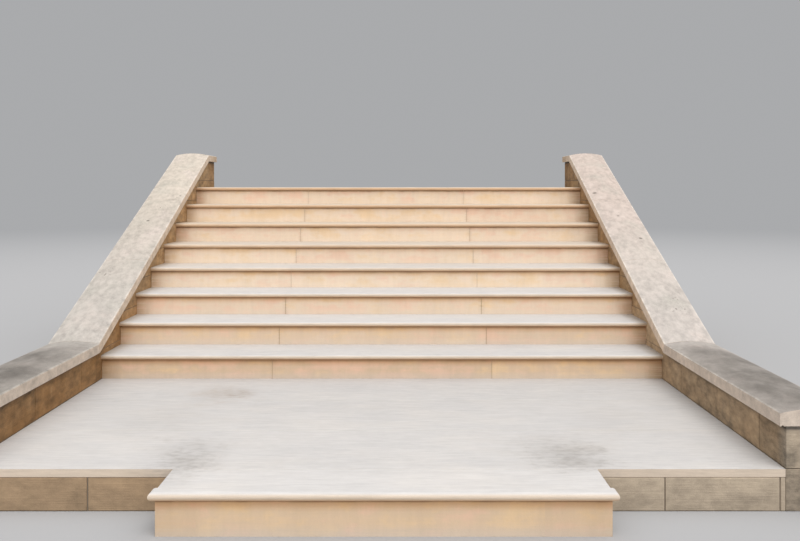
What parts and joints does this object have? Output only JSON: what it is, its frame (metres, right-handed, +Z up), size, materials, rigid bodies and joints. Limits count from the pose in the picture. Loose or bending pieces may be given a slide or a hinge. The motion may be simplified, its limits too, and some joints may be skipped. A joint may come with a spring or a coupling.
{
  "type": "outdoor stone steps",
  "caption": "Wide stone steps with a front landing, a straight flight of nosed treads on risers, and cheek walls with cambered copings.",
  "frame": {"origin": "middle of the plan at ground level", "axes": "+Y runs up the flight from the pavement to the house, +Z up, +X to the right as one walks up"},
  "size_m": [4.22, 4.975, 1.761],
  "materials": {
    "tread_stone": "sawn, pale cream",
    "riser_stone": "sawn, warm buff",
    "coping_stone": "old and weathered",
    "wall_stone": "old and stained",
    "core_masonry": "rough rubble"
  },
  "bodies": {
    "root": {"front_riser": "riser_stone", "front_step_slab": "tread_stone", "landing_core": "core_masonry", "flight_core": "core_masonry", "landing_slabs_front": "tread_stone", "landing_slabs_middle": "tread_stone", "landing_slabs_back": "tread_stone", "riser_1": "riser_stone", "riser_2": "riser_stone", "riser_3": "riser_stone", "riser_4": "riser_stone", "riser_5": "riser_stone", "riser_6": "riser_stone", "riser_7": "riser_stone", "riser_8": "riser_stone", "tread_1": "tread_stone", "tread_2": "tread_stone", "tread_3": "tread_stone", "tread_4": "tread_stone", "tread_5": "tread_stone", "tread_6": "tread_stone", "tread_7": "tread_stone", "top_nosed_slabs": "tread_stone", "top_landing_slabs": "tread_stone", "left_kerb_wall": "wall_stone", "left_cheek_wall": "wall_stone", "left_low_coping": "coping_stone", "left_raked_coping": "coping_stone", "left_top_coping": "coping_stone", "right_kerb_wall": "wall_stone", "right_cheek_wall": "wall_stone", "right_low_coping": "coping_stone", "right_raked_coping": "coping_stone", "right_top_coping": "coping_stone"}
  },
  "joints": []
}
